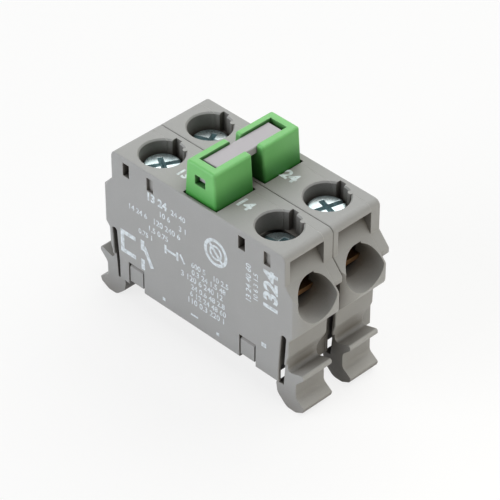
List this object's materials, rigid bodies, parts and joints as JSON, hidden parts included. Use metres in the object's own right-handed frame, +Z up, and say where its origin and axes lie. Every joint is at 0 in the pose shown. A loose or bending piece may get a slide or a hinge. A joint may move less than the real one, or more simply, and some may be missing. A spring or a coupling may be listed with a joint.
{
  "type": "base mounted contact block",
  "caption": "Twin contact block with snap feet, screw terminals in round wells, funnel wire entries and green plungers joined by a link bar.",
  "frame": {"origin": "under the middle of the block, on the plane its snap feet stand on", "axes": "+X along the block towards the right wire entries, +Y across the poles towards the rear pole, +Z up along the plungers"},
  "size_m": [0.045, 0.02, 0.0346],
  "materials": {
    "housing_plastic": "fine matt moulding",
    "plunger_plastic": "satin moulding",
    "bar_plastic": "satin moulding",
    "zinc_plated_steel": "bright zinc plate",
    "copper_alloy": "stamped strip",
    "silver": "satin",
    "spring_steel": "drawn wire"
  },
  "bodies": {
    "base": {"front_housing": "housing_plastic", "front_cover": "housing_plastic", "front_return_spring": "spring_steel", "front_left_terminal": "copper_alloy", "front_left_fixed_tip": "silver", "front_right_terminal": "copper_alloy", "front_right_fixed_tip": "silver", "rear_housing": "housing_plastic", "rear_cover": "housing_plastic", "rear_return_spring": "spring_steel", "rear_left_terminal": "copper_alloy", "rear_left_fixed_tip": "silver", "rear_right_terminal": "copper_alloy", "rear_right_fixed_tip": "silver"},
    "pusher": {"front_plunger": "plunger_plastic", "rear_plunger": "plunger_plastic", "link_bar": "bar_plastic", "front_contact_spring": "spring_steel", "rear_contact_spring": "spring_steel"},
    "front_moving_contact": {"front_bridge": "copper_alloy", "front_bridge_tips": "silver"},
    "rear_moving_contact": {"rear_bridge": "copper_alloy", "rear_bridge_tips": "silver"},
    "front_left_wire_clamp": {"front_left_clamp": "zinc_plated_steel"},
    "front_left_clamp_screw": {"front_left_screw": "zinc_plated_steel"},
    "front_right_wire_clamp": {"front_right_clamp": "zinc_plated_steel"},
    "front_right_clamp_screw": {"front_right_screw": "zinc_plated_steel"},
    "rear_left_wire_clamp": {"rear_left_clamp": "zinc_plated_steel"},
    "rear_left_clamp_screw": {"rear_left_screw": "zinc_plated_steel"},
    "rear_right_wire_clamp": {"rear_right_clamp": "zinc_plated_steel"},
    "rear_right_clamp_screw": {"rear_right_screw": "zinc_plated_steel"}
  },
  "joints": [
    {"name": "plunger_press", "type": "slide", "parent": "base", "child": "pusher", "axis": [0, 0, -1], "range_m": [0, 0.0042], "stiffness_N_per_m": 900, "springref_m": -0.0022, "deforming": ["front_return_spring", "rear_return_spring"]},
    {"name": "front_bridge_lift", "type": "slide", "parent": "pusher", "child": "front_moving_contact", "axis": [0, 0, 1], "range_m": [0, 0.0022], "deforming": ["front_contact_spring"]},
    {"name": "rear_bridge_lift", "type": "slide", "parent": "pusher", "child": "rear_moving_contact", "axis": [0, 0, 1], "range_m": [0, 0.0022], "deforming": ["rear_contact_spring"]},
    {"name": "front_left_clamp_travel", "type": "slide", "parent": "base", "child": "front_left_wire_clamp", "axis": [0, 0, -1], "range_m": [-0.0003, 0.0037]},
    {"name": "front_left_screw_turn", "type": "hinge", "parent": "front_left_wire_clamp", "child": "front_left_clamp_screw", "pos_m": [-0.0125, -0.005, 0.024], "axis": [0, 0, -1], "range_deg": [-182, 2221]},
    {"name": "front_right_clamp_travel", "type": "slide", "parent": "base", "child": "front_right_wire_clamp", "axis": [0, 0, -1], "range_m": [-0.0017, 0.0023]},
    {"name": "front_right_screw_turn", "type": "hinge", "parent": "front_right_wire_clamp", "child": "front_right_clamp_screw", "pos_m": [0.0125, -0.005, 0.024], "axis": [0, 0, -1], "range_deg": [-1021, 1381]},
    {"name": "rear_left_clamp_travel", "type": "slide", "parent": "base", "child": "rear_left_wire_clamp", "axis": [0, 0, -1], "range_m": [-0.00085, 0.00315]},
    {"name": "rear_left_screw_turn", "type": "hinge", "parent": "rear_left_wire_clamp", "child": "rear_left_clamp_screw", "pos_m": [-0.0125, 0.005, 0.024], "axis": [0, 0, -1], "range_deg": [-511, 1891]},
    {"name": "rear_right_clamp_travel", "type": "slide", "parent": "base", "child": "rear_right_wire_clamp", "axis": [0, 0, -1], "range_m": [-0.0002, 0.0038]},
    {"name": "rear_right_screw_turn", "type": "hinge", "parent": "rear_right_wire_clamp", "child": "rear_right_clamp_screw", "pos_m": [0.0125, 0.005, 0.024], "axis": [0, 0, -1], "range_deg": [-121, 2281]}
  ],
  "couplings": [
    {"joint": "front_bridge_lift", "follows": "plunger_press", "ratio": 0.52381},
    {"joint": "rear_bridge_lift", "follows": "plunger_press", "ratio": 0.52381},
    {"joint": "front_left_screw_turn", "follows": "front_left_clamp_travel", "rad_per_m": 10472},
    {"joint": "front_right_screw_turn", "follows": "front_right_clamp_travel", "rad_per_m": 10472},
    {"joint": "rear_left_screw_turn", "follows": "rear_left_clamp_travel", "rad_per_m": 10472},
    {"joint": "rear_right_screw_turn", "follows": "rear_right_clamp_travel", "rad_per_m": 10472}
  ]
}
